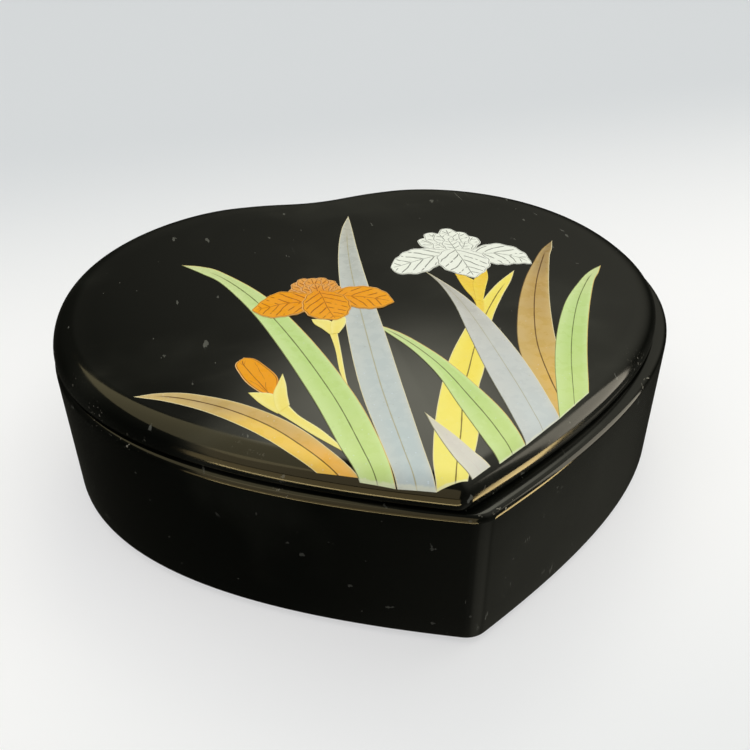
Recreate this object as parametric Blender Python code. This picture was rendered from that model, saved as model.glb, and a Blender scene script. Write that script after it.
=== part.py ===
"""Heart-shaped lacquered trinket box with a lift-off domed lid and a velvet-lined inside.

Metres, +Z up. The origin is on the surface the box stands on, under the middle of its
length and width. The heart's point faces -Y and its two lobes face +Y.

Every layer of the box follows one heart outline: a piece is a short profile of
(inset, height) pairs swept round that outline, where the inset is the distance in from
the outside of the wall.
"""

import bmesh
import bpy
import numpy as np

MM = 0.001

# Heart outline, seen from above. Each handle is the length of a Bezier handle.
WIDTH = 115 * MM            # across the two lobes
LENGTH = 105 * MM           # from the point to the top of the lobes
NOTCH_DEPTH = 1.6 * MM      # how far the notch sinks below the lobes
NOTCH_HANDLE = 6 * MM
LOBE_X = 18 * MM            # the top of a lobe, from the centre line
LOBE_INNER_HANDLE = 10 * MM
LOBE_OUTER_HANDLE = 15.5 * MM
WIDEST_Y = 7 * MM           # where the heart is widest
WIDEST_UPPER_HANDLE = 31 * MM
WIDEST_LOWER_HANDLE = 29 * MM
POINT_HANDLE = 31 * MM
POINT_HALF_ANGLE = np.radians(65.5)
POINT_RADIUS = 4.5 * MM

# Number of straight steps in each stretch of half the outline, and across a rounded edge.
NOTCH_STEPS = 8
LOBE_STEPS = 14
FLANK_STEPS = 14
POINT_STEPS = 4
ROUND_STEPS = 3
SHOULDER_STEPS = 6
CROWN_STEPS = 5

GAP = 0.3 * MM              # glue line or seat between two pieces

# Box body
FELT_THICKNESS = 0.8 * MM
FELT_INSET = 2.0 * MM
WALL_THICKNESS = 3.8 * MM
WALL_HEIGHT = 25.9 * MM
WALL_FOOT_RADIUS = 0.9 * MM
WALL_RIM_RADIUS = 1.0 * MM
WALL_INNER_RADIUS = 0.5 * MM
FLOOR_THICKNESS = 3.0 * MM
FLOOR_REBATE = 1.6 * MM     # how far the floor board lets into the wall

# Velvet inside the body
LINING_THICKNESS = 1.0 * MM
LINING_TOP_BELOW_LIP = 1.5 * MM
LINING_SEAM = 0.4 * MM      # gap between the two wall linings at the notch and the point
PAD_CARD_THICKNESS = 1.0 * MM
PAD_THICKNESS = 3.0 * MM
PAD_CLEARANCE = 0.5 * MM
PAD_ROUNDING = 1.2 * MM

# Lid
LID_SETBACK = 1.3 * MM      # the lid stops this far inside the outside of the wall
LID_EDGE_HEIGHT = 1.8 * MM
LID_EDGE_RADIUS = 0.5 * MM
SHOULDER_WIDTH = 5.0 * MM
SHOULDER_HEIGHT = 2.5 * MM
CROWN_HEIGHT = 1.6 * MM
LID_PANEL_THICKNESS = 2.2 * MM
LIP_THICKNESS = 1.6 * MM
LIP_DROP = 5.0 * MM         # how far the locating lip reaches down inside the wall
LIP_LEAD_IN = 0.5 * MM
LID_PLAY = 1.5 * MM         # how far the loose lid can slide to any side
LID_REST = (-1.3 * MM, 0.4 * MM, np.radians(-1.3))  # where it lies at rest, within that play, and its turn
LID_CARD_THICKNESS = 0.8 * MM
LID_PAD_THICKNESS = 1.6 * MM
LID_PAD_ROUNDING = 0.8 * MM

MERGE = 0.00001             # points this close are one

# Heights above the table
FLOOR_BOTTOM = FELT_THICKNESS + GAP
FLOOR_TOP = FLOOR_BOTTOM + FLOOR_THICKNESS
RIM_TOP = FLOOR_BOTTOM + WALL_HEIGHT
LID_BOTTOM = RIM_TOP + GAP
LIP_BOTTOM = RIM_TOP - LIP_DROP
SHOULDER_BOTTOM = LID_BOTTOM + LID_EDGE_HEIGHT
SHOULDER_TOP = SHOULDER_BOTTOM + SHOULDER_HEIGHT
CEILING = SHOULDER_TOP - LID_PANEL_THICKNESS

# Insets from the outside of the wall
LINING_OUTER = WALL_THICKNESS + GAP
LINING_INNER = LINING_OUTER + LINING_THICKNESS
PAD_INSET = LINING_INNER + PAD_CLEARANCE
LIP_OUTER = WALL_THICKNESS + LID_PLAY + GAP
LIP_INNER = LIP_OUTER + LIP_THICKNESS
LID_RECESS = LIP_OUTER - GAP
LID_PAD_INSET = LIP_INNER + GAP
SHOULDER_INNER = LID_SETBACK + SHOULDER_WIDTH


def bezier(start, start_handle, end_handle, end, steps):
    """Points along a cubic Bezier curve, both ends included, and its direction at each."""
    t = np.linspace(0, 1, steps + 1)[:, None]
    points = (
        (1 - t) ** 3 * start
        + 3 * (1 - t) ** 2 * t * start_handle
        + 3 * (1 - t) * t**2 * end_handle
        + t**3 * end
    )
    direction = (
        (1 - t) ** 2 * (start_handle - start)
        + 2 * (1 - t) * t * (end_handle - start_handle)
        + t**2 * (end - end_handle)
    )
    return points, direction / np.linalg.norm(direction, axis=1)[:, None]


def half_outline():
    """Right half of the heart, clockwise from the notch to the point, and its outward normals."""
    top = LENGTH / 2
    notch = np.array([0, top - NOTCH_DEPTH])
    lobe = np.array([LOBE_X, top])
    widest = np.array([WIDTH / 2, WIDEST_Y])
    point_centre = np.array([0, POINT_RADIUS - LENGTH / 2])
    flank = np.array([np.sin(POINT_HALF_ANGLE), np.cos(POINT_HALF_ANGLE)])
    flank_end = point_centre + POINT_RADIUS * np.array([flank[1], -flank[0]])

    across = np.array([1, 0])
    along = np.array([0, 1])
    angles = np.linspace(-POINT_HALF_ANGLE, -np.pi / 2, POINT_STEPS + 1)[:, None]
    outward = np.hstack([np.cos(angles), np.sin(angles)])
    stretches = [
        bezier(notch, notch + NOTCH_HANDLE * across, lobe - LOBE_INNER_HANDLE * across, lobe,
               NOTCH_STEPS),
        bezier(lobe, lobe + LOBE_OUTER_HANDLE * across, widest + WIDEST_UPPER_HANDLE * along, widest,
               LOBE_STEPS),
        bezier(widest, widest - WIDEST_LOWER_HANDLE * along, flank_end + POINT_HANDLE * flank, flank_end,
               FLANK_STEPS),
        (point_centre + POINT_RADIUS * outward, outward[:, ::-1] * (1, -1)),
    ]
    points = np.vstack([stretches[0][0]] + [stretch[0][1:] for stretch in stretches[1:]])
    travel = np.vstack([stretches[0][1]] + [stretch[1][1:] for stretch in stretches[1:]])
    return points, travel[:, ::-1] * (-1, 1)


def ring(inset, rest=(0, 0, 0)):
    """The whole heart as a closed loop of 2D points, moved inwards by inset, then turned and moved.

    Points of the right half that would cross the centre line all stop where it crosses."""
    points, normals = half_outline()
    moved = points - normals * inset
    crossed = np.flatnonzero(moved[1:-1, 0] < 0)
    if len(crossed):
        first = crossed[0] + 1
        before, after = moved[first - 1], moved[first]
        share = before[0] / (before[0] - after[0])
        moved[first:] = before + share * (after - before)
    moved[0, 0] = moved[-1, 0] = 0
    left = moved[-2:0:-1] * (-1, 1)
    c, s = np.cos(rest[2]), np.sin(rest[2])
    return np.vstack([moved, left]) @ np.array([(c, s), (-s, c)]) + rest[:2]


def shrunk(inset, share, rest):
    """The ring at that inset, drawn in towards its middle until share of it is left."""
    loop = ring(inset, rest)
    centre = (loop.max(axis=0) + loop.min(axis=0)) / 2
    return centre + (loop - centre) * share


def swept(name, levels, closed=False):
    """A mesh object made by extruding a heart loop from level to level.

    levels holds (loop, height) pairs in order round the profile. A closed profile joins
    its last level to its first, and an open one is capped at both ends."""
    bm = bmesh.new()
    loop, height = levels[0]
    bmesh.ops.create_circle(bm, cap_ends=not closed, segments=len(loop), radius=1)
    verts = list(bm.verts)
    for vert, (x, y) in zip(verts, loop):
        vert.co = (x, y, height)
    edges = bm.edges[:]
    for loop, height in levels[1:] + (levels[:1] if closed else []):
        made = bmesh.ops.extrude_edge_only(bm, edges=edges)["geom"]
        edges = [item for item in made if isinstance(item, bmesh.types.BMEdge)]
        fresh = {item for item in made if isinstance(item, bmesh.types.BMVert)}
        verts = [
            next(edge.other_vert(vert) for edge in vert.link_edges if edge.other_vert(vert) in fresh)
            for vert in verts
        ]
        for vert, (x, y) in zip(verts, loop):
            vert.co = (x, y, height)
    if not closed:
        bmesh.ops.contextual_create(bm, geom=edges)
    bmesh.ops.remove_doubles(bm, verts=bm.verts, dist=MERGE)
    bmesh.ops.dissolve_degenerate(bm, edges=bm.edges, dist=MERGE)
    bmesh.ops.recalc_face_normals(bm, faces=bm.faces)
    return as_object(name, bm)


def as_object(name, bm):
    """A named object in the box's collection from a bmesh, shaded smooth up to its edges."""
    mesh = bpy.data.meshes.new(name)
    bm.to_mesh(mesh)
    bm.free()
    mesh.shade_smooth()
    mesh.set_sharp_from_angle(angle=np.radians(35))
    made = bpy.data.objects.new(name, mesh)
    box_parts.objects.link(made)
    return made


def rounded(inset, height, radius, start, end, rest=(0, 0, 0)):
    """Levels round a quarter-round edge about (inset, height), from one angle to another.

    Angle 0 points away from the middle of the box and 90 degrees points up."""
    angles = np.radians(np.linspace(start, end, ROUND_STEPS + 1))
    return [(ring(inset - radius * np.cos(a), rest), height + radius * np.sin(a)) for a in angles]


def plate(name, inset, bottom, top, rest=(0, 0, 0)):
    """A flat heart-shaped sheet."""
    return swept(name, [(ring(inset, rest), bottom), (ring(inset, rest), top)])


def make_base_wall():
    """The box's side: an upright ring with rounded rim and foot, rebated for the floor."""
    foot = WALL_FOOT_RADIUS
    rim = WALL_RIM_RADIUS
    inner = WALL_INNER_RADIUS
    rebate_top = FLOOR_TOP + GAP
    rebate_inset = WALL_THICKNESS - FLOOR_REBATE
    levels = rounded(foot, FLOOR_BOTTOM + foot, foot, -90, 0)
    levels += rounded(rim, RIM_TOP - rim, rim, 0, 90)
    levels += rounded(WALL_THICKNESS - inner, RIM_TOP - inner, inner, 90, 180)
    levels += [
        (ring(WALL_THICKNESS), rebate_top),
        (ring(rebate_inset), rebate_top),
        (ring(rebate_inset), FLOOR_BOTTOM),
    ]
    return swept("base_wall", levels, closed=True)


def make_floor_board():
    return plate(
        "floor_board", WALL_THICKNESS - FLOOR_REBATE + GAP, FLOOR_BOTTOM, FLOOR_TOP
    )


def make_base_felt():
    return plate("base_felt", FELT_INSET, 0, FELT_THICKNESS)


def make_wall_linings():
    """Two strips of velvet-covered card that meet at the notch and at the point."""
    bottom = FLOOR_TOP + 2 * GAP
    top = LIP_BOTTOM - LINING_TOP_BELOW_LIP
    corners = [
        (ring(LINING_OUTER), bottom),
        (ring(LINING_OUTER), top),
        (ring(LINING_INNER), top),
        (ring(LINING_INNER), bottom),
    ]
    for name, side in (("wall_lining_right", 1), ("wall_lining_left", -1)):
        strip = swept(name, corners, closed=True)
        bm = bmesh.new()
        bm.from_mesh(strip.data)
        cut = bmesh.ops.bisect_plane(
            bm,
            geom=bm.verts[:] + bm.edges[:] + bm.faces[:],
            plane_co=(side * LINING_SEAM / 2, 0, 0),
            plane_no=(side, 0, 0),
            clear_inner=True,
        )
        ends = [item for item in cut["geom_cut"] if isinstance(item, bmesh.types.BMEdge)]
        bmesh.ops.edgeloop_fill(bm, edges=ends)
        bmesh.ops.recalc_face_normals(bm, faces=bm.faces)
        bm.to_mesh(strip.data)
        bm.free()


def make_floor_pad():
    """A card and, on it, the soft velvet pad that trinkets lie on."""
    card_bottom = FLOOR_TOP + GAP
    card_top = card_bottom + PAD_CARD_THICKNESS
    plate("floor_pad_card", PAD_INSET + PAD_ROUNDING, card_bottom, card_top)
    bottom = card_top + GAP
    top = bottom + PAD_THICKNESS
    levels = [(ring(PAD_INSET), bottom)]
    levels += rounded(PAD_INSET + PAD_ROUNDING, top - PAD_ROUNDING, PAD_ROUNDING, 0, 90)
    swept("floor_pad", levels)


def make_lid_shell():
    """The domed lid: rounded shoulder and crowned top, with a shallow recess underneath."""
    edge = LID_EDGE_RADIUS
    levels = [(ring(LID_RECESS, LID_REST), CEILING), (ring(LID_RECESS, LID_REST), LID_BOTTOM)]
    levels += rounded(LID_SETBACK + edge, LID_BOTTOM + edge, edge, -90, 0, LID_REST)
    angles = np.linspace(0, np.pi / 2, SHOULDER_STEPS + 1)
    levels += [
        (
            ring(LID_SETBACK + SHOULDER_WIDTH * (1 - np.cos(a)), LID_REST),
            SHOULDER_BOTTOM + SHOULDER_HEIGHT * np.sin(a),
        )
        for a in angles
    ]
    levels += [
        (shrunk(SHOULDER_INNER, share, LID_REST), SHOULDER_TOP + CROWN_HEIGHT * (1 - share**2))
        for share in np.linspace(1, 0, CROWN_STEPS + 1)[1:-1]
    ]
    return swept("lid_shell", levels)


def make_lid_lip():
    """The ring glued under the lid that drops inside the wall and keeps the lid in place."""
    corners = [
        (LIP_OUTER, CEILING - GAP),
        (LIP_INNER, CEILING - GAP),
        (LIP_INNER, LIP_BOTTOM),
        (LIP_OUTER + LIP_LEAD_IN, LIP_BOTTOM),
        (LIP_OUTER, LIP_BOTTOM + LIP_LEAD_IN),
    ]
    return swept("lid_locating_lip", [(ring(inset, LID_REST), z) for inset, z in corners], closed=True)


def make_lid_lining():
    """A card and its velvet pad, fitted inside the lip under the lid."""
    card_bottom = CEILING - GAP - LID_CARD_THICKNESS
    inset = LID_PAD_INSET + LID_PAD_ROUNDING
    plate("lid_lining_card", inset, card_bottom, CEILING - GAP, LID_REST)
    top = card_bottom - GAP
    bottom = top - LID_PAD_THICKNESS
    levels = rounded(inset, bottom + LID_PAD_ROUNDING, LID_PAD_ROUNDING, -90, 0, LID_REST)
    levels += [(ring(inset - LID_PAD_ROUNDING, LID_REST), top)]
    swept("lid_lining", levels)


def finish_with(names, material_name, colour, roughness, coat=0.0):
    """One Principled material for the named objects."""
    material = bpy.data.materials.new(material_name)
    material.use_nodes = True
    shader = material.node_tree.nodes["Principled BSDF"]
    shader.inputs["Base Color"].default_value = (*colour, 1)
    shader.inputs["Roughness"].default_value = roughness
    shader.inputs["Metallic"].default_value = 0
    shader.inputs["Coat Weight"].default_value = coat
    for name in names:
        bpy.data.objects[name].data.materials.append(material)


for old in list(bpy.data.objects):
    bpy.data.objects.remove(old)
box_parts = bpy.data.collections.new("heart_trinket_box")
bpy.context.scene.collection.children.link(box_parts)

make_base_wall()
make_floor_board()
make_base_felt()
make_wall_linings()
make_floor_pad()
make_lid_shell()
make_lid_lip()
make_lid_lining()

finish_with(["base_wall", "lid_shell", "floor_board", "lid_locating_lip"],
            "black_lacquer", (0.012, 0.012, 0.011), 0.12, coat=1.0)
finish_with(["wall_lining_left", "wall_lining_right", "floor_pad", "lid_lining"],
            "wine_velvet", (0.16, 0.012, 0.02), 0.95)
finish_with(["floor_pad_card", "lid_lining_card"], "grey_card", (0.42, 0.38, 0.32), 0.9)
finish_with(["base_felt"], "black_felt", (0.02, 0.02, 0.02), 1.0)

# The lid and what is glued to it hang from one empty, so that moving it lifts the lid off.
lid_lift = bpy.data.objects.new("lid_lift", None)
lid_lift.location = (0, 0, RIM_TOP)
box_parts.objects.link(lid_lift)
for lid_piece in ("lid_shell", "lid_locating_lip", "lid_lining_card", "lid_lining"):
    piece = bpy.data.objects[lid_piece]
    piece.parent = lid_lift
    piece.location = -lid_lift.location
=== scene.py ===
# %% [markdown]
# # A black lacquered heart box
# The box is a low heart of black lacquer with a loose, slightly domed lid and a spray of
# irises in coloured enamel on top. Inside, it is lined with wine-red velvet. The CAD frame
# already holds every piece at its real size, so this script makes only what the eye sees:
# fine surfaces, soft velvet, the enamel picture and each material.

import math

import bmesh
import bpy
import numpy as np
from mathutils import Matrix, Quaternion, Vector
from mathutils.bvhtree import BVHTree


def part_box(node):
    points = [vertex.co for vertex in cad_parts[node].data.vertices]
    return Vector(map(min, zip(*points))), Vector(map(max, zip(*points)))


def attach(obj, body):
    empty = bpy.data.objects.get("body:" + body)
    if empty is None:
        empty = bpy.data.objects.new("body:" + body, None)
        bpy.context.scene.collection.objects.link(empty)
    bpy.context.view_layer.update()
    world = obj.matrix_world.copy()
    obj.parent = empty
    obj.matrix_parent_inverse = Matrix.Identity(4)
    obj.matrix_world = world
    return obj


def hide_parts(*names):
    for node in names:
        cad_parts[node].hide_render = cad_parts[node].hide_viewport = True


MM = 0.001
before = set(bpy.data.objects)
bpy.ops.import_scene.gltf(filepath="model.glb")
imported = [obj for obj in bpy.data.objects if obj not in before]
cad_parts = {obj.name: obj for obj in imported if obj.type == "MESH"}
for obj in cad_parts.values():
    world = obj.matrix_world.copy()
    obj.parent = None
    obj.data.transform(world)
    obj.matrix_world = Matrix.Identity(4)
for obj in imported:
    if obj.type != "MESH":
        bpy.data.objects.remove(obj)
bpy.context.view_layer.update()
low = {node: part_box(node)[0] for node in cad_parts}
high = {node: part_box(node)[1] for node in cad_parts}
print("nodes:", len(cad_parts), "top of the lid in mm:", round(high["lid_shell"].z / MM, 1))

# %% [markdown]
# ## The camera
# The view is a close one, from a hand's breadth away, a little left of the point and
# looking down at the lid. A camera that near has strong perspective, which is part of how
# the box looks. The camera is placed by its direction and distance from a point in the
# middle of the box. Its near clipping distance comes down too, or the box would be cut open.

# %% The camera
AZIMUTH = math.radians(-16.2)
ELEVATION = math.radians(35.07)
DISTANCE = 169.7 * MM
LENS = 42.24
ROLL = math.radians(0.3)
AIM_RIGHT = -0.54 * MM
AIM_UP = 0.71 * MM
AIM_HEIGHT = 15 * MM


def arrow(azimuth, elevation):
    """The direction at an azimuth and an elevation, as a vector of length 1."""
    level = math.cos(elevation)
    return Vector((math.sin(azimuth) * level, -math.cos(azimuth) * level, math.sin(elevation)))


back = arrow(AZIMUTH, ELEVATION)
right = Vector((math.cos(AZIMUTH), math.sin(AZIMUTH), 0))
aim = Vector((0, 0, AIM_HEIGHT)) + right * AIM_RIGHT + back.cross(right) * AIM_UP

camera = bpy.data.objects.new("camera", bpy.data.cameras.new("camera"))
camera.data.lens = LENS
camera.data.clip_start = 5 * MM
camera.location = aim + back * DISTANCE
camera.rotation_euler = (back.to_track_quat("Z", "Y") @ Quaternion((0, 0, 1), -ROLL)).to_euler()
bpy.context.scene.collection.objects.link(camera)
bpy.context.scene.camera = camera
bpy.context.scene.view_settings.view_transform = "Standard"
print("camera at", [round(v, 3) for v in camera.location])

# %% [markdown]
# ## Soft daylight
# A big lamp overhead and four lamps round the box give an even light with hardly a shadow.
# A direction is an azimuth, which is 0 in front of the point and grows to the right, and an
# elevation. The same function turns both into an arrow for the camera, lamps and sky.

# %% Soft lamps
DAYLIGHT = (0.975, 0.985, 1.0)
SIDE_ELEVATION = 38


def lamp(name, azimuth, elevation, distance, size, watts, colour, mirrored=False):
    """A soft lamp that points at the box from a direction in degrees. size is (width, height)."""
    way = arrow(math.radians(azimuth), math.radians(elevation))
    bulb = bpy.data.lights.new(name, "AREA")
    bulb.shape = "RECTANGLE"
    bulb.size, bulb.size_y = size
    bulb.energy = watts
    bulb.color = colour
    holder = bpy.data.objects.new(name, bulb)
    holder.location = way * distance
    holder.rotation_euler = way.to_track_quat("Z", "Y").to_euler()
    holder.visible_glossy = mirrored
    holder.visible_diffuse = not mirrored
    bpy.context.scene.collection.objects.link(holder)


lamp("overhead", 165, 86, 1.3, (1.7, 1.7), 8.0, DAYLIGHT)
for turn, watts in ((25, 1.8), (115, 1.9), (205, 1.6), (295, 1.6)):
    lamp(f"side_{turn}", turn, SIDE_ELEVATION, 1.1, (1.0, 1.0), watts, DAYLIGHT)

# %% [markdown]
# ## Warm cards in the gloss
# The shoulder, the rim and the wall mirror warm things near the box, as olive and gold
# streaks. Cards stand in for those. Only reflections see them, so they light nothing else.

# %% Cards that only the gloss mirrors
CARD_DISTANCE = 0.6
cards = (
    ("olive_card_left", -108, 63, (0.90, 0.38), 1.8, (1.0, 0.86, 0.46)),
    ("gold_card_front", -38, 30, (0.66, 0.52), 1.8, (1.0, 0.80, 0.42)),
    ("gold_card_low", -38, -9, (0.76, 0.26), 1.6, (1.0, 0.76, 0.34)),
    ("gold_strip_low", -34, -25, (0.70, 0.045), 1.5, (1.0, 0.78, 0.36)),
    ("pale_card_right", 77, 16, (0.26, 0.48), 1.75, (1.0, 0.92, 0.74)),
    ("gold_strip_right", 62, -18, (0.14, 0.22), 1.5, (1.0, 0.74, 0.32)),
)
for name, azimuth, elevation, size, watts, colour in cards:
    lamp(name, azimuth, elevation, CARD_DISTANCE, size, watts, colour, mirrored=True)
print("lamps:", len(bpy.data.lights))

# %% [markdown]
# ## Writing materials as sums
# A procedural finish is mostly arithmetic on patterns. Wrapping a socket in a small class
# that knows + - and * lets that arithmetic be written as Python, and each operator adds the
# Math node it stands for. Everything else, such as a noise or a ramp, comes from one method.

# %% A socket that does arithmetic
class Value:
    """One number that varies over a surface."""

    def __init__(self, finish, socket):
        self.finish = finish
        self.socket = socket

    def math(self, operation, *others):
        return self.finish.node("ShaderNodeMath", {"operation": operation}, [self, *others])

    def __add__(self, other):
        return self.math("ADD", other)

    def __mul__(self, other):
        return self.math("MULTIPLY", other)

    def __sub__(self, other):
        return self.math("SUBTRACT", other)

    def __rsub__(self, other):
        return self.finish.node("ShaderNodeMath", {"operation": "SUBTRACT"}, [other, self])

    __radd__ = __add__
    __rmul__ = __mul__

    def over(self, start, end):
        """0 below start, 1 above end, and a smooth step between. Swapped ends turn it round."""
        ranged = self.finish.node(
            "ShaderNodeMapRange",
            {"interpolation_type": "SMOOTHSTEP", "clamp": True},
            {"Value": self, "From Min": min(start, end), "From Max": max(start, end)},
        )
        return ranged if start < end else 1 - ranged


class Patterns:
    """A node tree and the ways to add to it."""

    def node(self, kind, settings=None, inputs=(), output=0):
        made = self.tree.nodes.new(kind)
        for key, value in (settings or {}).items():
            if key == "stops":
                self.set_stops(made.color_ramp, value)
            else:
                setattr(made, key, value)
        pairs = inputs.items() if isinstance(inputs, dict) else enumerate(inputs)
        for key, value in pairs:
            self.feed(made.inputs[key], value)
        return Value(self, made.outputs[output])

    def set_stops(self, ramp, stops):
        while len(ramp.elements) < len(stops):
            ramp.elements.new(0.5)
        for element, (position, colour) in zip(ramp.elements, stops):
            element.position = position
            element.color = (*colour, 1)

    def feed(self, socket, value):
        if isinstance(value, Value):
            self.tree.links.new(value.socket, socket)
        elif isinstance(value, tuple) and len(value) == 3 and socket.type == "RGBA":
            socket.default_value = (*value, 1)
        else:
            socket.default_value = value

    def mix(self, first, second, share):
        """From the first colour to the second as share goes from 0 to 1."""
        made = self.node("ShaderNodeMix", {"data_type": "RGBA"}, {0: share})
        mixer = made.socket.node
        self.feed(mixer.inputs[6], first)
        self.feed(mixer.inputs[7], second)
        return Value(self, mixer.outputs[2])

    def noise(self, scale, detail=2.0, stretch=(1, 1, 1), turn=(0, 0, 0)):
        """Soft random blotches, scale of them to a metre."""
        moved = self.node(
            "ShaderNodeMapping", {}, {"Vector": self.place, "Scale": stretch, "Rotation": turn}
        )
        return self.node("ShaderNodeTexNoise", {}, {"Vector": moved, "Scale": scale, "Detail": detail})

    def specks(self, scale, radius, share):
        """Round dots, one to a cell of 1/scale metres, in that share of the cells."""
        cells = self.node("ShaderNodeTexVoronoi", {}, {"Vector": self.place, "Scale": scale})
        chance = self.node(
            "ShaderNodeSeparateColor", {}, [Value(self, cells.socket.node.outputs["Color"])]
        )
        return cells.over(radius, radius * 0.6) * chance.over(1 - share, 1 - share * 0.98)

    def attribute(self, name):
        return self.node("ShaderNodeAttribute", {"attribute_name": name}, output="Fac")


class Finish(Patterns):
    """A Principled material and the nodes that feed it."""

    def __init__(self, name, **constants):
        self.material = bpy.data.materials.new(name)
        self.material.use_nodes = True
        self.tree = self.material.node_tree
        self.shader = self.tree.nodes["Principled BSDF"]
        for socket, value in constants.items():
            self.shader.inputs[socket.replace("_", " ")].default_value = value
        self.place = self.node("ShaderNodeTexCoord", output="Object")

    def drive(self, socket, value):
        self.feed(self.shader.inputs[socket], value)

    def bump(self, height, depth, strength=1.0):
        """Small relief: height goes from 0 to 1 and depth is its size in metres."""
        relief = self.node("ShaderNodeBump", {}, {"Height": height, "Distance": depth, "Strength": strength})
        self.drive("Normal", relief)


# %% [markdown]
# ## The room the lacquer reflects
# Black gloss has almost no colour of its own, so what it mirrors decides how it looks. The
# big lamps are hidden from reflections, and the sky stands for the room: dark low down,
# lighter towards the ceiling and to the right, with one soft pale patch behind the box,
# which lies across the middle of the lid between the leaves.

# %% The sky
PATCH_AZIMUTH, PATCH_ELEVATION = math.radians(160), math.radians(48)
ROOM_AZIMUTH = math.radians(110)
GLOOM = 0.025
ROOM_STRENGTH = 2.7
PATCH_STRENGTH = 3.5
PATCH_WIDTH = math.radians(19)
RIGHT_STRENGTH = 0.16
POINT_STRENGTH = 0.22


class Sky(Patterns):
    """The world's background and the directions that shape it."""

    def __init__(self):
        world = bpy.data.worlds.new("studio")
        world.use_nodes = True
        bpy.context.scene.world = world
        self.tree = world.node_tree
        self.place = self.node("ShaderNodeTexCoord", output="Generated")
        self.shader = self.tree.nodes["Background"]

    def facing(self, azimuth, elevation):
        """1 straight towards a direction, 0 square to it."""
        way = arrow(azimuth, elevation)
        return self.node(
            "ShaderNodeVectorMath", {"operation": "DOT_PRODUCT"}, [self.place, way], output="Value"
        )


sky = Sky()
up = sky.facing(0, math.pi / 2)
towards_room = sky.facing(ROOM_AZIMUTH, 0)
height = up.math("MAXIMUM", 0)
room = height * height * (towards_room - 0.05).math("MAXIMUM", 0.06) * ROOM_STRENGTH
pale_patch = sky.facing(PATCH_AZIMUTH, PATCH_ELEVATION).over(math.cos(PATCH_WIDTH), 1)
room_right = sky.facing(math.radians(40), math.radians(-35)).over(0.3, 1)
point_glow = sky.facing(math.radians(28), math.radians(-45)).over(0.93, 1)
brightness = GLOOM + room + pale_patch * pale_patch * PATCH_STRENGTH
brightness = brightness + room_right * RIGHT_STRENGTH + point_glow * POINT_STRENGTH
sky.feed(sky.shader.inputs["Color"], (1.0, 0.98, 0.80))
sky.feed(sky.shader.inputs["Strength"], brightness)
print("sky nodes:", len(sky.tree.nodes))

# %% [markdown]
# ## Black lacquer
# Lacquer is a deep black film under a smooth clear gloss. What stops it looking like plain
# plastic is what has happened to it: a faint haze of handling, dust, hairline scuffs, and
# small brown chips where the rounded edges have been knocked. The edges carry a vertex
# value named worn, so the chips stay on them. Round the point of the rim the chips are
# packed close, as painted highlights.

# %% The lacquer finish
POINT_RIM = (2 * MM, -51.5 * MM, 27 * MM)


def make_lacquer(name, haze, dust):
    coat = Finish(name, Roughness=0.1, IOR=1.45, Specular_IOR_Level=0.3)
    cloud = coat.noise(28, 3).over(0.45, 0.75) * haze
    smear = coat.noise(55, 4, stretch=(1, 3.2, 1), turn=(0, 0, 0.7)).over(0.48, 0.72)
    film = coat.mix((0.0022, 0.0025, 0.0018), (0.034, 0.035, 0.028), cloud * 0.4 + smear * cloud * 0.3)

    scuff_lines = coat.noise(900, 2, stretch=(1, 0.03, 0.2), turn=(0.2, 0, 0.9)).over(0.68, 0.73)
    scuffs = scuff_lines * coat.noise(60, 1).over(0.58, 0.66)
    marks = coat.noise(520, 3, stretch=(1, 0.4, 1), turn=(0, 0, 2.1)).over(0.71, 0.74) * dust
    specks = coat.specks(170, 0.021, 0.16) * dust + coat.specks(420, 0.05, 0.05) * dust
    # Near the point of the rim the chips are packed close, as painted highlights.
    near_point = coat.node(
        "ShaderNodeVectorMath", {"operation": "DISTANCE"}, [coat.place, POINT_RIM], output="Value"
    ).over(5 * MM, 2 * MM)
    knocks_and_point_glints = coat.noise(90, 2).over(0.60, 0.70) + near_point
    chips_and_glints = coat.attribute("worn") * coat.noise(1500, 3).over(0.62, 0.67) * knocks_and_point_glints
    film = coat.mix(film, (0.24, 0.24, 0.21), specks * 0.9 + scuffs * 0.25 + marks * 0.35)
    film = coat.mix(film, (0.30, 0.28, 0.23), chips_and_glints)
    coat.drive("Base Color", film)
    coat.drive("Roughness", 0.07 + smear * 0.06 + cloud * 0.10 + (specks + scuffs) * 0.35 + chips_and_glints * 0.5)
    coat.bump(coat.noise(160, 2) * 0.6 + specks * 0.4 - chips_and_glints * 0.5, 0.03 * MM, 0.35)
    return coat.material


lacquer = make_lacquer("black_lacquer", haze=0.5, dust=0.45)
lid_lacquer = make_lacquer("lid_lacquer", haze=1.0, dust=1.0)
print("lacquer nodes:", len(lid_lacquer.node_tree.nodes))

# %% [markdown]
# ## One heart for every layer
# Wall, lid, lip, felt and pads all follow one outline, moved inwards by some inset. Three
# Bezier curves and an arc make half of it, and mirroring makes the rest. Its width and
# length come from the frame, and the lengths of its handles are repeated from the design.

# %% The heart outline
WIDTH = high["base_wall"].x - low["base_wall"].x
LENGTH = high["base_wall"].y - low["base_wall"].y
NOTCH = Vector((0, LENGTH / 2 - 1.6 * MM))
LOBE = Vector((18 * MM, LENGTH / 2))
WIDEST = Vector((WIDTH / 2, 7 * MM))
POINT_RADIUS = 4.5 * MM
POINT_HALF_ANGLE = math.radians(65.5)
FLANK = Vector((math.sin(POINT_HALF_ANGLE), math.cos(POINT_HALF_ANGLE)))
POINT_CENTRE = Vector((0, POINT_RADIUS - LENGTH / 2))
POINT_START = POINT_CENTRE + POINT_RADIUS * Vector((FLANK.y, -FLANK.x))
STRETCHES = (
    (NOTCH, NOTCH + Vector((6 * MM, 0)), LOBE - Vector((10 * MM, 0)), LOBE, 20),
    (LOBE, LOBE + Vector((15.5 * MM, 0)), WIDEST + Vector((0, 31 * MM)), WIDEST, 44),
    (WIDEST, WIDEST - Vector((0, 29 * MM)), POINT_START + 31 * MM * FLANK, POINT_START, 44),
)
POINT_STEPS = 12


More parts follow.
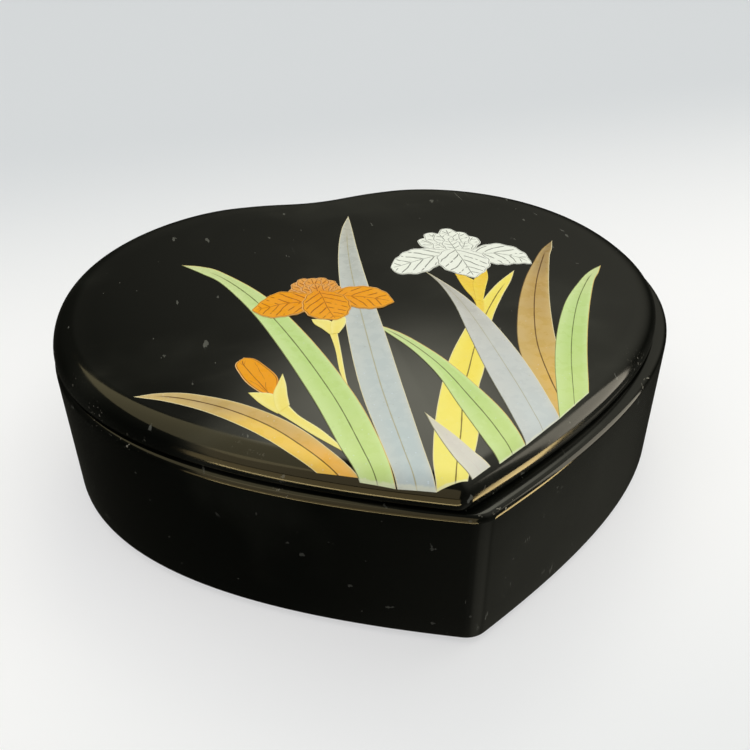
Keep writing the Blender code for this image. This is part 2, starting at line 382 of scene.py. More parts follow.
def half_heart():
    """Points from the notch clockwise to the point, and their outward directions."""
    points, travel = [], []
    for start, first, second, end, steps in STRETCHES:
        for i in range(steps):
            t = i / steps
            s = 1 - t
            points.append(s**3 * start + 3 * s * s * t * first + 3 * s * t * t * second + t**3 * end)
            travel.append(s * s * (first - start) + 2 * s * t * (second - first) + t * t * (end - second))
    for i in range(POINT_STEPS + 1):
        angle = -POINT_HALF_ANGLE - (math.pi / 2 - POINT_HALF_ANGLE) * i / POINT_STEPS
        outward = Vector((math.cos(angle), math.sin(angle)))
        points.append(POINT_CENTRE + POINT_RADIUS * outward)
        travel.append(Vector((outward.y, -outward.x)))
    return np.array(points), np.array([Vector((-way.y, way.x)).normalized() for way in travel])


HALF, OUTWARD = half_heart()


def heart(inset, rest=(0, 0, 0), scale=1.0):
    """The outline as a closed loop, moved inwards by inset, laid at rest's place and turn, and scaled."""
    moved = HALF - OUTWARD * inset
    crossed = np.flatnonzero(moved[1:-1, 0] < 0)
    if len(crossed):
        first = crossed[0] + 1
        before, after = moved[first - 1], moved[first]
        moved[first:] = before + before[0] / (before[0] - after[0]) * (after - before)
    moved[0, 0] = moved[-1, 0] = 0
    c, s = math.cos(rest[2]), math.sin(rest[2])
    loop = np.vstack([moved, moved[-2:0:-1] * (-1, 1)]) @ np.array([(c, s), (-s, c)]) + rest[:2]
    centre = (loop.max(axis=0) + loop.min(axis=0)) / 2
    return centre + (loop - centre) * scale


print("outline points:", len(heart(0)), "width in mm:", round(np.ptp(heart(0)[:, 0]) / MM, 2))

# %% [markdown]
# ## Sweeping a profile round the heart
# A spin makes round things only, so each layer starts as a circle of points laid on the
# heart, and its edges are extruded from one level of the profile to the next. Every level
# is a loop, a height and how worn the surface is there. A profile that closes on itself
# makes a ring, such as the wall, and an open one is capped and makes a lid or a pad.

# %% Sweeping tools
SAME = 0.000002
SHARP = math.radians(38)


def as_piece(name, bm, body, finish, sharp=SHARP):
    """A finished object from a bmesh, riding on a body."""
    mesh = bpy.data.meshes.new(name)
    bm.to_mesh(mesh)
    bm.free()
    mesh.shade_smooth()
    mesh.set_sharp_from_angle(angle=sharp)
    mesh.materials.append(finish)
    piece = bpy.data.objects.new(name, mesh)
    bpy.context.scene.collection.objects.link(piece)
    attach(piece, body)
    return piece


def swept_bmesh(levels, closed=False):
    """A bmesh from (loop, height, worn) levels, in order round the profile."""
    bm = bmesh.new()
    worn = bm.verts.layers.float.new("worn")

    def place(verts, level):
        loop, height, wear = level
        for vert, (x, y) in zip(verts, loop):
            vert.co = (x, y, height)
            vert[worn] = wear

    bmesh.ops.create_circle(bm, cap_ends=not closed, segments=len(levels[0][0]), radius=1)
    verts = list(bm.verts)
    edges = bm.edges[:]
    place(verts, levels[0])
    for level in levels[1:] + (levels[:1] if closed else []):
        made = bmesh.ops.extrude_edge_only(bm, edges=edges)["geom"]
        edges = [item for item in made if isinstance(item, bmesh.types.BMEdge)]
        fresh = {item for item in made if isinstance(item, bmesh.types.BMVert)}
        verts = [
            next(e.other_vert(v) for e in v.link_edges if e.other_vert(v) in fresh) for v in verts
        ]
        place(verts, level)
    if not closed:
        bmesh.ops.contextual_create(bm, geom=edges)
    bmesh.ops.remove_doubles(bm, verts=bm.verts, dist=SAME)
    bmesh.ops.dissolve_degenerate(bm, edges=bm.edges, dist=SAME)
    bmesh.ops.recalc_face_normals(bm, faces=bm.faces)
    return bm


def rounded(inset, height, radius, start, end, steps=6, wear=1.0, rest=(0, 0, 0)):
    """Levels round an edge. Angle 0 faces away from the box's middle and 90 degrees faces up."""
    levels = []
    for i in range(steps + 1):
        angle = math.radians(start + (end - start) * i / steps)
        loop = heart(inset - radius * math.cos(angle), rest)
        levels.append((loop, height + radius * math.sin(angle), wear * math.sin(math.pi * i / steps)))
    return levels


def straight(inset, bottom, top, steps, rest=(0, 0, 0)):
    """Levels up or down a straight wall, both ends left out."""
    return [(heart(inset, rest), bottom + (top - bottom) * i / steps, 0) for i in range(1, steps)]


# %% [markdown]
# ## The wall of the box
# The wall stands up straight, with a rounded rim that shows as a bright narrow ledge round
# the lid, and a smaller rounding at the foot. Inside, a rebate takes the floor board.

# %% The wall
WALL = 3.8 * MM
RIM_RADIUS = 1.0 * MM
FOOT_RADIUS = 0.9 * MM
INNER_RADIUS = 0.5 * MM
wall_bottom, wall_top = low["base_wall"].z, high["base_wall"].z
floor_inset = (WIDTH - (high["floor_board"].x - low["floor_board"].x)) / 2
rebate_inset = floor_inset - 0.3 * MM
rebate_top = high["floor_board"].z + 0.3 * MM

levels = rounded(FOOT_RADIUS, wall_bottom + FOOT_RADIUS, FOOT_RADIUS, -90, 0, wear=0.7)
levels += straight(0, wall_bottom + FOOT_RADIUS, wall_top - RIM_RADIUS, 6)
levels += rounded(RIM_RADIUS, wall_top - RIM_RADIUS, RIM_RADIUS, 0, 90)
levels += rounded(WALL - INNER_RADIUS, wall_top - INNER_RADIUS, INNER_RADIUS, 90, 180, wear=0.4)
levels += [
    (heart(WALL), rebate_top, 0),
    (heart(rebate_inset), rebate_top, 0),
    (heart(rebate_inset), wall_bottom, 0),
]
wall = as_piece("wall", swept_bmesh(levels, closed=True), "base", lacquer)
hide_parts("base_wall")
print("wall faces:", len(wall.data.polygons))

# %% [markdown]
# ## The lid
# Seen from the side the lid is a small rounded lower edge, then a wide soft shoulder that is
# nearly upright at its foot, then a top that rises only a millimetre and a half to its
# middle. The same loop does it all: it is moved inwards round a quarter of a superellipse,
# fuller at its corner than an ellipse, for the shoulder, and from there drawn in towards
# the middle while it rises. The lid lies loose: pushed a little to the left, and
# turned a little, which leaves a wider ledge of rim on the right of the point.

# %% The lid
LID_EDGE_RADIUS = 0.5 * MM
SHOULDER_WIDTH = 5.0 * MM
SHOULDER_HEIGHT = 3.8 * MM
SHOULDER_POWER = 2.5
LID_REST = (-1.3 * MM, 0.4 * MM, math.radians(-1.3))
lid_setback = 1.3 * MM
lid_bottom = low["lid_shell"].z
shoulder_bottom = lid_bottom + LID_EDGE_RADIUS
shoulder_top = shoulder_bottom + SHOULDER_HEIGHT
ceiling = lid_bottom + 2.1 * MM
crown = 1.6 * MM
shoulder_inner = lid_setback + SHOULDER_WIDTH
lip_outer = 5.6 * MM
recess_inset = lip_outer - 0.3 * MM
SHOULDER_STEPS = 24
CROWN_STEPS = 22


def crown_levels():
    """Loops drawn in from the shoulder to the middle, rising as they go."""
    levels = []
    for i in range(1, CROWN_STEPS):
        scale = 1 - i / CROWN_STEPS
        loop = heart(shoulder_inner, LID_REST, scale)
        levels.append((loop, shoulder_top + crown * (1 - scale**2), 0))
    return levels


levels = [(heart(recess_inset, LID_REST), ceiling, 0), (heart(recess_inset, LID_REST), lid_bottom, 0)]
levels += rounded(
    lid_setback + LID_EDGE_RADIUS, lid_bottom + LID_EDGE_RADIUS, LID_EDGE_RADIUS, -90, 0, 4, 0.8, LID_REST
)
for i in range(SHOULDER_STEPS + 1):
    angle = math.pi / 2 * i / SHOULDER_STEPS
    out = math.cos(angle) ** (2 / SHOULDER_POWER)
    rise = math.sin(angle) ** (2 / SHOULDER_POWER)
    loop = heart(lid_setback + SHOULDER_WIDTH * (1 - out), LID_REST)
    levels.append((loop, shoulder_bottom + SHOULDER_HEIGHT * rise, 0.5 * math.cos(angle) ** 2))
levels += crown_levels()
lid = as_piece("lid", swept_bmesh(levels), "lid", lid_lacquer)
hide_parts("lid_shell")
lid_tree = BVHTree.FromPolygons(
    [vertex.co for vertex in lid.data.vertices], [tuple(face.vertices) for face in lid.data.polygons]
)
print("lid faces:", len(lid.data.polygons), "width in mm:", round(lid.dimensions.x / MM, 2))


def lid_height(x, y):
    """The height of the lid's upper surface over a place."""
    hit = lid_tree.ray_cast(Vector((x, y, 1)), Vector((0, 0, -1)))[0]
    return hit.z if hit else shoulder_bottom


# %% [markdown]
# ## The lid's lip
# A plain ring hangs under the lid and drops inside the wall. Its lower edges are rounded,
# so that it finds its way in. It reaches up into the lid to the ceiling of its recess.

# %% The lip
LIP_LEAD = 0.5 * MM
LIP_INNER_RADIUS = 0.4 * MM
lip_inner = 7.2 * MM
lip_bottom, lip_top = low["lid_locating_lip"].z, high["lid_locating_lip"].z

levels = rounded(lip_outer + LIP_LEAD, lip_bottom + LIP_LEAD, LIP_LEAD, -90, 0, 5, 0.6, LID_REST)
levels += straight(lip_outer, lip_bottom + LIP_LEAD, lip_top, 4, LID_REST)
levels += [(heart(lip_outer, LID_REST), lip_top, 0), (heart(lip_inner, LID_REST), lip_top, 0)]
levels += straight(lip_inner, lip_top, lip_bottom + LIP_INNER_RADIUS, 4, LID_REST)
levels += rounded(
    lip_inner - LIP_INNER_RADIUS, lip_bottom + LIP_INNER_RADIUS, LIP_INNER_RADIUS, 180, 270, 4, 0.4, LID_REST
)
lip = as_piece("lip", swept_bmesh(levels, closed=True), "lid", lacquer)
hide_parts("lid_locating_lip")
print("lip faces:", len(lip.data.polygons))

# %% [markdown]
# ## Velvet, card and felt
# Velvet is a dense pile: matt from above and pale along its folds, where the pile is seen
# from the side, which is what sheen does. Fingers leave lighter and darker strokes in it.
# Card is a grey board with short fibres, and felt is black wool with matted fluff.

# %% Soft finishes
def make_velvet():
    pile = Finish("wine_velvet", Roughness=0.95, Specular_IOR_Level=0.15, Sheen_Weight=0.7,
                  Sheen_Roughness=0.35, Sheen_Tint=(0.75, 0.22, 0.26, 1))
    strokes = pile.noise(60, 3, stretch=(1, 2.2, 1), turn=(0, 0, 0.5)).over(0.38, 0.66)
    nap = pile.noise(5200, 2)
    ground = pile.mix((0.085, 0.006, 0.012), (0.21, 0.018, 0.032), strokes)
    ground = pile.mix(ground, (0.30, 0.045, 0.06), nap.over(0.55, 0.75) * 0.4)
    lint = pile.specks(260, 0.035, 0.05)
    pile.drive("Base Color", pile.mix(ground, (0.50, 0.44, 0.42), lint * 0.7))
    pile.bump(nap * 0.7 + strokes * 0.3, 0.10 * MM, 0.6)
    return pile.material


def make_fibrous(name, dark, light, scale, depth):
    """Short matted fibres: two noises drawn out across each other."""
    board = Finish(name, Roughness=0.95, Specular_IOR_Level=0.1)
    first = board.noise(scale, 3, stretch=(1, 0.12, 1), turn=(0, 0, 0.4))
    second = board.noise(scale, 3, stretch=(0.12, 1, 1), turn=(0, 0, 0.9))
    fibres = (first + second) * 0.5
    ground = board.mix(dark, light, fibres.over(0.38, 0.62))
    stain = board.noise(35, 2).over(0.45, 0.7)
    board.drive("Base Color", board.mix(ground, dark, stain * 0.4))
    board.drive("Roughness", 0.86 + fibres * 0.12)
    board.bump(fibres, depth, 0.6)
    return board.material


velvet = make_velvet()
card = make_fibrous("grey_card", (0.34, 0.30, 0.25), (0.48, 0.44, 0.37), 1800, 0.04 * MM)
felt = make_fibrous("black_felt", (0.008, 0.008, 0.008), (0.040, 0.040, 0.038), 1400, 0.15 * MM)
for node, finish in (("floor_board", lacquer), ("floor_pad_card", card), ("lid_lining_card", card)):
    for material_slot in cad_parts[node].material_slots:
        material_slot.material = finish
print("soft finishes:", velvet.name, card.name, felt.name)

# %% [markdown]
# ## Felt foot and wall linings
# The felt is a thin sheet under the floor with a softened edge. The wall lining is a band of
# velvet over card, in two halves that meet at the notch and at the point. It is swept as a
# ring, slightly fuller half way up, and then cut along the middle and closed again.

# %% Felt and wall linings
FELT_EDGE = 0.25 * MM
felt_inset = 2.0 * MM
felt_bottom, felt_top = low["base_felt"].z, high["base_felt"].z
levels = rounded(felt_inset + FELT_EDGE, felt_bottom + FELT_EDGE, FELT_EDGE, -90, 0, 4, 0)
levels += rounded(felt_inset + FELT_EDGE, felt_top - FELT_EDGE, FELT_EDGE, 0, 90, 4, 0)
foot = as_piece("felt_foot", swept_bmesh(levels), "base", felt)
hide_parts("base_felt")

SEAM = 0.4 * MM
LINING_FULLNESS = 0.15 * MM
LINING_ROWS = 8
lining_outer, lining_inner = 4.1 * MM, 5.1 * MM
lining_bottom, lining_top = low["wall_lining_left"].z, high["wall_lining_left"].z
lining_radius = (lining_inner - lining_outer) / 2


def wall_lining(side, sign):
    """One half of the band. sign is 1 on the right and -1 on the left."""
    middle = lining_outer + lining_radius
    levels = [(heart(lining_outer), lining_bottom, 0), (heart(lining_outer), lining_top - lining_radius, 0)]
    levels += rounded(middle, lining_top - lining_radius, lining_radius, 0, 180, 10, 0)[1:]
    for i in range(1, LINING_ROWS):
        full = LINING_FULLNESS * math.sin(math.pi * i / LINING_ROWS)
        height = lining_top - lining_radius + (lining_bottom - lining_top + lining_radius) * i / LINING_ROWS
        levels.append((heart(lining_inner + full), height, 0))
    levels.append((heart(lining_inner), lining_bottom, 0))
    bm = swept_bmesh(levels, closed=True)
    bmesh.ops.bisect_plane(
        bm, geom=[*bm.verts, *bm.edges, *bm.faces], plane_co=(sign * SEAM / 2, 0, 0), plane_no=(-sign, 0, 0),
        clear_outer=True, dist=SAME,
    )
    bmesh.ops.holes_fill(bm, edges=[edge for edge in bm.edges if edge.is_boundary])
    bmesh.ops.recalc_face_normals(bm, faces=bm.faces)
    lining = as_piece(f"velvet_wall_{side}", bm, "base", velvet, math.radians(60))
    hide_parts(f"wall_lining_{side}")
    return lining


for side, sign in (("left", -1), ("right", 1)):
    print(side, "lining faces:", len(wall_lining(side, sign).data.polygons))

# %% [markdown]
# ## Velvet pads
# Each pad is velvet wrapped over thin wadding. It starts a little too small, is remeshed
# into even squares, and a cloth simulation then blows it up. The simulation runs on a copy
# ten times as big, with its height drawn out more, and swells much too far. So no point may
# travel further than a cap, and the height is limited too. Those two limits set how full the
# pad is, and they keep the side that lies on its card flat.

# %% Pads
SIM_SCALE = 10
SIM_FRAMES = 20
PRESSURE = 4.0
VOXEL = 1.2 * MM
TINY = 1e-9


def evaluated_mesh(piece):
    graph = bpy.context.evaluated_depsgraph_get()
    graph.update()
    return bpy.data.meshes.new_from_object(piece.evaluated_get(graph))


def places(mesh):
    return np.array([vertex.co for vertex in mesh.vertices])


def stuffed(name, levels, body, drawn_out, cap, bottom, top):
    """A pad from a swept form. No point moves further than cap, or past bottom and top."""
    bm = swept_bmesh(levels)
    grow = np.array([SIM_SCALE, SIM_SCALE, SIM_SCALE * drawn_out])
    for vert in bm.verts:
        vert.co = Vector(np.array(vert.co) * grow)
    mesh = bpy.data.meshes.new(name)
    bm.to_mesh(mesh)
    bm.free()
    trial = bpy.data.objects.new(name + "_trial", mesh)
    bpy.context.scene.collection.objects.link(trial)
    remesh = trial.modifiers.new("even", "REMESH")
    remesh.mode = "VOXEL"
    remesh.voxel_size = VOXEL * SIM_SCALE
    even = evaluated_mesh(trial)
    trial.modifiers.clear()
    trial.data = even
    start = places(even)
    moved = start
    cloth = trial.modifiers.new("cloth", "CLOTH")
    cloth.settings.use_pressure = True
    cloth.settings.uniform_pressure_force = PRESSURE
    cloth.settings.effector_weights.gravity = 0
    cloth.settings.quality = 4
    cloth.collision_settings.use_collision = False
    cloth.point_cache.frame_start = 1
    cloth.point_cache.frame_end = SIM_FRAMES
    for step in range(1, SIM_FRAMES + 1):
        bpy.context.scene.frame_set(step)
    swollen = evaluated_mesh(trial)
    moved = places(swollen)
    bpy.context.scene.frame_set(1)
    bpy.data.meshes.remove(swollen)
    shift = (moved - start) / grow
    length = np.linalg.norm(shift, axis=1)
    shift *= (cap * np.tanh(length / cap) / np.maximum(length, TINY))[:, None]
    final = start / grow + shift
    final[:, 2] = np.clip(final[:, 2], bottom, top)
    bpy.data.objects.remove(trial)
    bm = bmesh.new()
    bm.from_mesh(even)
    for vert, place in zip(bm.verts, final):
        vert.co = place
    bpy.data.meshes.remove(even)
    pad = as_piece(name, bm, body, velvet, math.pi)
    smooth = pad.modifiers.new("finer", "SUBSURF")
    smooth.levels = smooth.render_levels = 1
    print(name, "faces:", len(pad.data.polygons), "furthest travel in mm:", round(length.max() / MM, 2))
    return pad


pad_bottom = low["floor_pad"].z
pad_inset, pad_radius = 6.3 * MM, 1.1 * MM
levels = rounded(pad_inset + pad_radius, pad_bottom + pad_radius, pad_radius, -90, 90, 8, 0)
floor_pad_limit = 8.9 * MM
floor_pad = stuffed("velvet_floor_pad", levels, "base", 1.5, 0.8 * MM, pad_bottom, floor_pad_limit)
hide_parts("floor_pad")

lining_inset, lining_edge = 7.9 * MM, 0.5 * MM
pad_top = high["lid_lining"].z
levels = rounded(lining_inset + lining_edge, pad_top - lining_edge, lining_edge, -90, 90, 8, 0, LID_REST)
lid_pad_limit = 26.2 * MM
lid_pad = stuffed("velvet_lid_pad", levels, "lid", 4.0, 0.45 * MM, lid_pad_limit, pad_top)
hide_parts("lid_lining")

# %% [markdown]
# ## Enamel
# The irises are printed in opaque enamel: each leaf shades from tip to root, is flecked
# with pearl, carries one fine rib and has a hair-thin outline. Every leaf and petal carries
# four numbers at its corners: how far along it is, how far across, and its distance in
# metres from its edge and from its rib. Lines drawn with those keep one width everywhere.

# %% The enamel finish
def make_enamel(
    name, colours, left_line, right_line, rib, light, flecks=0.5, rib_width=0.13, root_wear=0.55, veins=None,
    left_half=None,
):
    """colours runs from tip to root, and light tints the two sides.

    veins is (colour, count, lean, width). left_half is a second colour, left of the rib and
    towards the root.
    """
    paint = Finish(name, Roughness=0.3, IOR=1.45, Specular_IOR_Level=0.12)
    along = paint.attribute("along")
    across = paint.attribute("across")
    edge = paint.attribute("from_edge")
    from_rib = paint.attribute("from_rib")
    off_rib = from_rib.math("ABSOLUTE")
    drift = (paint.noise(90, 3) - 0.5) * 0.35
    stops = [(i / (len(colours) - 1), colour) for i, colour in enumerate(colours)]
    ground = paint.node("ShaderNodeValToRGB", {"stops": stops}, [along + drift])
    ground = paint.mix(ground, light, across.over(0.42, 0.05) * 0.45 + across.over(0.78, 1.0) * 0.5)
    if left_half:
        reach = along.over(0.38, 0.66) * (1 - along.over(0.90, 1.0) * 0.5)
        ground = paint.mix(ground, left_half, across.over(0.53, 0.47) * reach * 0.85)
    mottle = paint.noise(420, 4).over(0.35, 0.7)
    ground = paint.mix(ground, (0.90, 0.88, 0.80), mottle * 0.10 * flecks)
    pearl = paint.specks(1500, 0.22, 0.16)
    ground = paint.mix(ground, (0.72, 0.80, 0.90), pearl * 0.45 * flecks)
    grain = paint.specks(900, 0.16, 0.10)
    ground = paint.mix(ground, (0.30, 0.27, 0.16), grain * 0.25 * flecks)

    shake = (paint.noise(500, 2) - 0.5) * 0.10 * MM
    line = (off_rib + shake).over(rib_width * 0.7 * MM, rib_width * 0.35 * MM) * along.over(0.08, 0.16)
    if veins:
        vein_colour, count, lean, width = veins
        phase = along * count + off_rib * (lean / MM) + (paint.noise(260, 2) - 0.5) * 0.7
        wave = (phase.math("FRACT") - 0.5).math("ABSOLUTE")
        stroke = wave.over(width, width * 0.5) * edge.over(0.45 * MM, 0.85 * MM)
        stroke = stroke * along.over(0.10, 0.2) * off_rib.over(0.05 * MM, 0.25 * MM)
        ground = paint.mix(ground, vein_colour, stroke * paint.noise(700, 1).over(0.34, 0.44) * 0.9)
        inner = (edge + shake - 0.24 * MM).math("ABSOLUTE").over(0.11 * MM, 0.05 * MM)
        ground = paint.mix(ground, vein_colour, inner * 0.8)
    ground = paint.mix(ground, rib, line * 0.9)
    side = across.over(0.49, 0.51)
    border = (edge + shake * 0.7).over(0.17 * MM, 0.09 * MM)
    ground = paint.mix(ground, left_line, border * (1 - side) * 0.8)
    ground = paint.mix(ground, right_line, border * side * 0.8)
    scraped = (along + (paint.noise(900, 2) - 0.5) * 0.008).over(0.992, 0.997)
    ground = paint.mix(ground, (0.85, 0.84, 0.66), scraped * root_wear)
    paint.drive("Base Color", ground)
    paint.drive("Roughness", 0.24 + mottle * 0.12 + pearl * 0.1)
    paint.bump(line * -0.5 + border * 0.4 + paint.noise(1300, 2) * 0.25, 0.012 * MM, 0.35)
    return paint.material


OLIVE = (0.12, 0.11, 0.035)
CREAM = (0.80, 0.72, 0.45)
GOLD = (0.72, 0.46, 0.14)
UMBER = (0.10, 0.045, 0.010)
SIENNA = (0.34, 0.09, 0.006)
SLATE = (0.16, 0.17, 0.15)
enamels = {
    "green": make_enamel(
        "leaf_green", [(0.66, 0.70, 0.36), (0.54, 0.72, 0.28), (0.52, 0.71, 0.24), (0.60, 0.76, 0.28)],
        OLIVE, GOLD, (0.10, 0.13, 0.03), (0.68, 0.84, 0.40), 0.5, 0.18),
    "blue": make_enamel(
        "leaf_blue", [(0.48, 0.47, 0.40), (0.49, 0.52, 0.50), (0.51, 0.57, 0.58), (0.52, 0.60, 0.62)],
        CREAM, CREAM, (0.42, 0.39, 0.24), (0.60, 0.63, 0.60), 1.0, 0.17),
    "grey": make_enamel(
        "leaf_grey", [(0.42, 0.39, 0.33), (0.54, 0.54, 0.51), (0.57, 0.60, 0.60), (0.60, 0.65, 0.66)],
        OLIVE, CREAM, (0.42, 0.40, 0.28), (0.62, 0.63, 0.61), 0.9),
    "brown": make_enamel(
        "leaf_brown", [(0.28, 0.19, 0.08), (0.50, 0.32, 0.10), (0.60, 0.40, 0.12), (0.80, 0.50, 0.11)],
        UMBER, CREAM, UMBER, (0.64, 0.46, 0.18), 0.6, 0.21),
    "straw": make_enamel(
        "leaf_straw", [(0.62, 0.46, 0.20), (0.52, 0.36, 0.13), (0.66, 0.42, 0.12), (0.92, 0.48, 0.07)],
        CREAM, CREAM, UMBER, (0.72, 0.52, 0.18), 0.6, 0.24, 0.0, left_half=(0.93, 0.62, 0.10)),
    "yellow": make_enamel(
        "leaf_yellow", [(0.93, 0.80, 0.16), (0.93, 0.76, 0.11), (0.95, 0.80, 0.12), (0.95, 0.86, 0.22)],
        CREAM, CREAM, (0.16, 0.11, 0.02), (0.95, 0.86, 0.20), 0.3, 0.19),
    "lilac": make_enamel(
        "leaf_lilac", [(0.66, 0.64, 0.48), (0.70, 0.66, 0.60), (0.72, 0.71, 0.64)],
        OLIVE, CREAM, (0.70, 0.66, 0.60), (0.78, 0.76, 0.64), 0.5),
    "stem": make_enamel(
        "stem_yellow", [(0.93, 0.84, 0.28), (0.91, 0.77, 0.17)],
        (0.86, 0.74, 0.20), (0.94, 0.88, 0.46), (0.92, 0.79, 0.20), (0.95, 0.87, 0.38), 0.3, 0.1, 0.0),
    "calyx": make_enamel(
        "calyx_gold", [(0.88, 0.57, 0.05), (0.90, 0.69, 0.08)],
        (0.70, 0.46, 0.05), (0.92, 0.76, 0.16), (0.89, 0.63, 0.06), (0.91, 0.72, 0.10), 0.3, 0.1, 0.0),
    "orange": make_enamel(
        "petal_orange", [(0.90, 0.38, 0.006), (0.89, 0.35, 0.004), (0.84, 0.31, 0.005)],
        (0.86, 0.54, 0.22), (0.84, 0.44, 0.10), SIENNA, (0.86, 0.38, 0.015), 0.15, 0.14, 0.0,
        (SIENNA, 7, 0.5, 0.11)),
    "ruffle": make_enamel(
        "ruffle_orange", [(0.80, 0.42, 0.12), (0.80, 0.31, 0.02), (0.70, 0.23, 0.008)],
        (0.84, 0.54, 0.28), (0.84, 0.50, 0.22), SIENNA, (0.82, 0.40, 0.09), 0.15, 0.14, 0.0,
        (SIENNA, 3, 0.9, 0.14)),
    "bud": make_enamel(
        "bud_orange", [(0.86, 0.36, 0.005), (0.88, 0.34, 0.001)],
        (0.88, 0.62, 0.32), (0.80, 0.40, 0.10), (0.30, 0.08, 0.006), (0.87, 0.36, 0.003), 0.1, 0.14, 0.0,
        (SIENNA, 1.6, 0.6, 0.03)),
    "white": make_enamel(
        "petal_white", [(0.92, 0.95, 0.87), (0.88, 0.91, 0.83)],
        (0.86, 0.88, 0.80), (0.92, 0.94, 0.87), SLATE, (0.93, 0.95, 0.89), 0.1, 0.14, 0.0,
        (SLATE, 6, 0.45, 0.10)),
}
print("enamel colours:", len(enamels))

# %% [markdown]
# ## Leaves and petals
# A leaf is a grid. One end of it is gathered into the tip, the other end is the root, and
# its two long sides follow two smooth curves through a few points, in millimetres from the
# middle of the lid. Extruding the grid gives the enamel a thickness, and then every corner
# is dropped onto the lid. A higher layer lies over a lower one.

# %% Tools for the spray
TURN = LID_REST[2] + math.radians(0.2)
STRETCH = (1.01, 1.022)
SHIFT = (0.7, 2.8)
LAYER = 0.012 * MM
FILM = 0.03 * MM
SUNK = 0.05 * MM
ACROSS = 20
ROW = 0.4


def smooth_curve(points, steps):
    """Evenly spaced places along a Catmull-Rom curve through the points."""
    points = [np.array(p, float) for p in points]
    ends = [2 * points[0] - points[1], *points, 2 * points[-1] - points[-2]]
    dense = []
    for a, b, c, d in zip(ends, ends[1:], ends[2:], ends[3:]):
        for t in np.arange(0, 1, 0.05):
            dense.append(0.5 * (2 * b + (c - a) * t + (2 * a - 5 * b + 4 * c - d) * t**2
                                + (3 * b - a - 3 * c + d) * t**3))
    dense = np.array(dense + [points[-1]])
    length = np.r_[0, np.cumsum(np.linalg.norm(np.diff(dense, axis=0), axis=1))]
    at = np.linspace(0, length[-1], steps)
    return np.column_stack([np.interp(at, length, dense[:, axis]) for axis in (0, 1)])


def on_lid(place):
    """Where a point of the drawing lies on the real lid, in metres."""
    x, y = place[0] * STRETCH[0] + SHIFT[0], place[1] * STRETCH[1] + SHIFT[1]
    x, y = x * math.cos(TURN) - y * math.sin(TURN), x * math.sin(TURN) + y * math.cos(TURN)
    return x * MM + LID_REST[0], y * MM + LID_REST[1]


def blade(name, colour, layer, tip, left, right, rib=0.5, frill=0.0, frills=6):
    """One leaf or petal. left and right run from just after the tip to the root."""
    rows = max(20, round(math.dist(tip, left[-1]) / ROW))
    sides = [smooth_curve([tip, *side], rows) for side in (left, right)]
    if frill:
        ripple = frill * np.sin(np.linspace(0, frills * 2 * math.pi, rows))
        way = sides[1] - sides[0]
        way /= np.linalg.norm(way, axis=1)[:, None] + 1e-9
        sides = [sides[0] - way * ripple[:, None], sides[1] + way * ripple[:, None]]
    bm = bmesh.new()
    bmesh.ops.create_grid(bm, x_segments=ACROSS, y_segments=rows - 1, size=0.5)
    layers = {key: bm.verts.layers.float.new(key) for key in ("along", "across", "from_edge", "from_rib")}
    for vert in bm.verts:
        across = vert.co.x + 0.5
        row = round((vert.co.y + 0.5) * (rows - 1))
        start, end = sides[0][row], sides[1][row]
        width = np.linalg.norm(end - start)
        place = start + (end - start) * across
        vert.co = (*on_lid(place), 1)
        vert[layers["along"]] = row / (rows - 1)
        vert[layers["across"]] = across
        vert[layers["from_edge"]] = min(across, 1 - across) * width * MM
        vert[layers["from_rib"]] = (across - rib) * width * MM
    under = bmesh.ops.extrude_face_region(bm, geom=bm.faces[:])["geom"]
    for vert in [item for item in under if isinstance(item, bmesh.types.BMVert)]:
        vert.co.z = 0
    for vert in bm.verts:
        ground = lid_height(vert.co.x, vert.co.y)
        vert.co.z = ground + FILM + LAYER * layer if vert.co.z > 0.5 else ground - SUNK
    bmesh.ops.remove_doubles(bm, verts=bm.verts, dist=SAME)
    bmesh.ops.dissolve_degenerate(bm, edges=bm.edges, dist=SAME)
    bmesh.ops.recalc_face_normals(bm, faces=bm.faces)
    return as_piece(name, bm, "lid", enamels[colour])


# %% [markdown]
# ## The leaves
# Long sword leaves sweep up from the point of the heart. Each is listed with its colour and
# its layer, its tip, then its left side and its right side down to the root. All the roots
# end on one line that runs round just inside the lid's shoulder.

# %% Sword leaves
blade("leaf_straw_low", "straw", 0, (-43.2, -19.8),
      [(-38.3, -22.6), (-32.6, -27.0), (-26.8, -33.1), (-22.2, -39.4), (-19.4, -43.0)],
      [(-39.2, -20.2), (-34.2, -22.0), (-26.8, -27.0), (-20.0, -34.4), (-13.9, -45.8)])
blade("leaf_green_long", "green", 5, (-32.2, 19.7),
      [(-28.6, 14.5), (-25.7, 9.6), (-22.1, -1.5), (-19.4, -13.6), (-16.7, -29.0), (-15.3, -39.9),
       (-14.0, -46.2)],
      [(-28.4, 17.6), (-25.0, 14.0), (-18.7, 2.5), (-13.9, -12.7), (-10.5, -28.8), (-9.4, -40.2),
       (-9.5, -48.6)])
blade("leaf_blue_tall", "blue", 4, (4.1, 32.7),
      [(1.2, 26.5), (-1.8, 17.0), (-4.6, 4.5), (-7.6, -14.0), (-9.2, -28.5), (-9.4, -40.2), (-9.3, -48.7)],
      [(3.3, 26.5), (1.7, 15.4), (0.0, 0.6), (-1.5, -16.5), (-2.6, -28.0), (-3.7, -41.2), (-4.4, -50.9)])
blade("leaf_yellow_long", "yellow", 0, (28.4, 0.3),
      [(23.5, -3.6), (18.7, -8.6), (12.0, -17.0), (6.3, -25.1), (0.9, -35.4), (-3.0, -45.0), (-4.4, -50.9)],
      [(26.0, -3.6), (22.0, -8.9), (17.2, -16.2), (11.4, -27.9), (8.4, -33.2), (4.9, -42.4), (0.1, -50.9)],
      rib=0.6)
